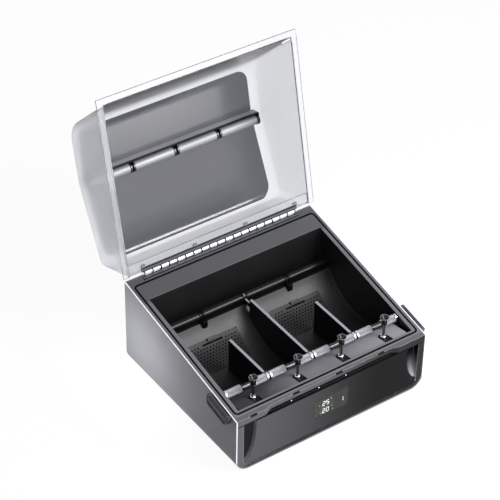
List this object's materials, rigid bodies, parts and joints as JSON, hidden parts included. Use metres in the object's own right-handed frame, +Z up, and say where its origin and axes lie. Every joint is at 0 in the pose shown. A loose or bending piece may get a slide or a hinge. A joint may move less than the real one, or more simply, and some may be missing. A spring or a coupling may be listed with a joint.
{
  "type": "filament dryer box",
  "caption": "Wedge-shaped box for filament reels with a clear hinged lid, roller bars, dividers, filament guides, perforated covers over drying trays, a display fascia and side latches.",
  "frame": {"origin": "on the table under the middle of the open box", "axes": "+X to the right seen from the front, +Y to the back, +Z up"},
  "size_m": [0.3978, 0.4976, 0.4993],
  "materials": {
    "shell_grey": "satin moulded plastic, mid grey",
    "frame_dark": "satin moulded plastic, dark grey",
    "panel_gloss": "polished dark panel",
    "display_dark": "dark display with a faint green cast",
    "light_white": "clear light pipe",
    "board_green": "solder mask",
    "tub_black": "satin black moulded plastic",
    "seal_rubber": "soft black seal",
    "apron_grey": "fine-textured grey plastic",
    "divider_dark": "dark plastic with a lighter top edge",
    "satin_steel": "turned satin steel",
    "bright_ring": "polished ring",
    "black_ring": "black plastic ring",
    "shaft_steel": "ground steel",
    "black_roller": "glossy black sleeve",
    "black_plastic": "black moulded plastic",
    "silver_tube": "drawn tube",
    "cup_black": "glossy black funnel",
    "cover_dark": "perforated dark plastic",
    "tray_grey": "plain grey plastic",
    "hinge_silver": "bright rolled steel",
    "lid_clear": "clear moulded plastic",
    "window_smoke": "smoked clear sheet",
    "foot_rubber": "rubber",
    "latch_dark": "dark satin plastic",
    "heater_metal": "plain fins"
  },
  "bodies": {
    "base": {"outer_shell": "shell_grey", "rubber_feet": "foot_rubber", "front_frame": "frame_dark", "front_panel": "panel_gloss", "status_lights": "light_white", "display_module": "display_dark", "control_board": "board_green", "inner_tub": "tub_black", "lid_seal": "seal_rubber", "apron_plate": "apron_grey", "centre_divider": "divider_dark", "side_divider_left": "divider_dark", "side_divider_right": "divider_dark", "front_shaft": "shaft_steel", "rear_shaft": "shaft_steel", "hinge_pin": "shaft_steel", "latch_pins": "shaft_steel", "front_bar_rings": "bright_ring", "inlet_ferrules": "bright_ring", "rear_bar_rings": "black_ring", "rear_bar_brackets": "black_plastic", "feeder_blocks": "black_plastic", "fan_frame": "black_plastic", "tube_outlets": "black_plastic", "power_inlet": "black_plastic", "guide_tubes": "silver_tube", "desiccant_tray_left": "tray_grey", "desiccant_tray_right": "tray_grey", "hinge_leaf_body": "hinge_silver", "latch_brackets": "latch_dark", "heater_block": "heater_metal", "guide_cup_1": "cup_black", "guide_cup_2": "cup_black", "guide_cup_3": "cup_black", "guide_cup_4": "cup_black"},
    "lid": {"hinge_leaf_lid": "hinge_silver", "lid_shell": "lid_clear", "lid_window": "window_smoke", "lid_rail": "black_plastic", "lid_bar_shaft": "shaft_steel", "lid_bar_rings": "black_ring"},
    "front_roller_1": {"front_roller_1": "satin_steel"},
    "front_roller_2": {"front_roller_2": "satin_steel"},
    "front_roller_3": {"front_roller_3": "satin_steel"},
    "front_roller_4": {"front_roller_4": "satin_steel"},
    "rear_roller_1": {"rear_roller_1": "black_roller"},
    "rear_roller_2": {"rear_roller_2": "black_roller"},
    "rear_roller_3": {"rear_roller_3": "black_roller"},
    "rear_roller_4": {"rear_roller_4": "black_roller"},
    "lid_roller_1": {"lid_roller_1": "satin_steel"},
    "lid_roller_2": {"lid_roller_2": "satin_steel"},
    "lid_roller_3": {"lid_roller_3": "satin_steel"},
    "lid_roller_4": {"lid_roller_4": "satin_steel"},
    "grille_cover_left": {"grille_cover_left": "cover_dark"},
    "grille_cover_right": {"grille_cover_right": "cover_dark"},
    "latch_left": {"latch_left": "latch_dark"},
    "latch_right": {"latch_right": "latch_dark"},
    "fan_rotor": {"fan_rotor": "black_plastic"}
  },
  "joints": [
    {"name": "lid_hinge", "type": "hinge", "parent": "base", "child": "lid", "pos_m": [0, 0.07493, 0.18033], "axis": [1, 0, 0], "range_deg": [0, 113.5]},
    {"name": "front_roller_1_spin", "type": "hinge", "parent": "base", "child": "front_roller_1", "pos_m": [0, -0.18779, 0.11507], "axis": [1, 0, 0], "continuous": true},
    {"name": "front_roller_2_spin", "type": "hinge", "parent": "base", "child": "front_roller_2", "pos_m": [0, -0.18779, 0.11507], "axis": [1, 0, 0], "continuous": true},
    {"name": "front_roller_3_spin", "type": "hinge", "parent": "base", "child": "front_roller_3", "pos_m": [0, -0.18779, 0.11507], "axis": [1, 0, 0], "continuous": true},
    {"name": "front_roller_4_spin", "type": "hinge", "parent": "base", "child": "front_roller_4", "pos_m": [0, -0.18779, 0.11507], "axis": [1, 0, 0], "continuous": true},
    {"name": "rear_roller_1_spin", "type": "hinge", "parent": "base", "child": "rear_roller_1", "pos_m": [0, 0.00622, 0.10607], "axis": [1, 0, 0], "continuous": true},
    {"name": "rear_roller_2_spin", "type": "hinge", "parent": "base", "child": "rear_roller_2", "pos_m": [0, 0.00622, 0.10607], "axis": [1, 0, 0], "continuous": true},
    {"name": "rear_roller_3_spin", "type": "hinge", "parent": "base", "child": "rear_roller_3", "pos_m": [0, 0.00622, 0.10607], "axis": [1, 0, 0], "continuous": true},
    {"name": "rear_roller_4_spin", "type": "hinge", "parent": "base", "child": "rear_roller_4", "pos_m": [0, 0.00622, 0.10607], "axis": [1, 0, 0], "continuous": true},
    {"name": "lid_roller_1_spin", "type": "hinge", "parent": "lid", "child": "lid_roller_1", "pos_m": [0, 0.21466, 0.28597], "axis": [1, 0, 0], "continuous": true},
    {"name": "lid_roller_2_spin", "type": "hinge", "parent": "lid", "child": "lid_roller_2", "pos_m": [0, 0.21466, 0.28597], "axis": [1, 0, 0], "continuous": true},
    {"name": "lid_roller_3_spin", "type": "hinge", "parent": "lid", "child": "lid_roller_3", "pos_m": [0, 0.21466, 0.28597], "axis": [1, 0, 0], "continuous": true},
    {"name": "lid_roller_4_spin", "type": "hinge", "parent": "lid", "child": "lid_roller_4", "pos_m": [0, 0.21466, 0.28597], "axis": [1, 0, 0], "continuous": true},
    {"name": "grille_cover_left_tilt", "type": "hinge", "parent": "base", "child": "grille_cover_left", "pos_m": [-0.0857, -0.07532, 0.05109], "axis": [1, 0, 0], "range_deg": [0, 50]},
    {"name": "grille_cover_right_tilt", "type": "hinge", "parent": "base", "child": "grille_cover_right", "pos_m": [0.0857, -0.07532, 0.05109], "axis": [1, 0, 0], "range_deg": [0, 50]},
    {"name": "latch_left_lever", "type": "hinge", "parent": "base", "child": "latch_left", "pos_m": [-0.19465, -0.20566, 0.11559], "axis": [0, 0.981, 0.1941], "range_deg": [0, 75]},
    {"name": "latch_right_lever", "type": "hinge", "parent": "base", "child": "latch_right", "pos_m": [0.19465, -0.20566, 0.11559], "axis": [0, -0.981, -0.1941], "range_deg": [0, 75]},
    {"name": "fan_spin", "type": "hinge", "parent": "base", "child": "fan_rotor", "pos_m": [0, 0.0102, 0.0312], "axis": [0, 1, 0], "continuous": true}
  ]
}
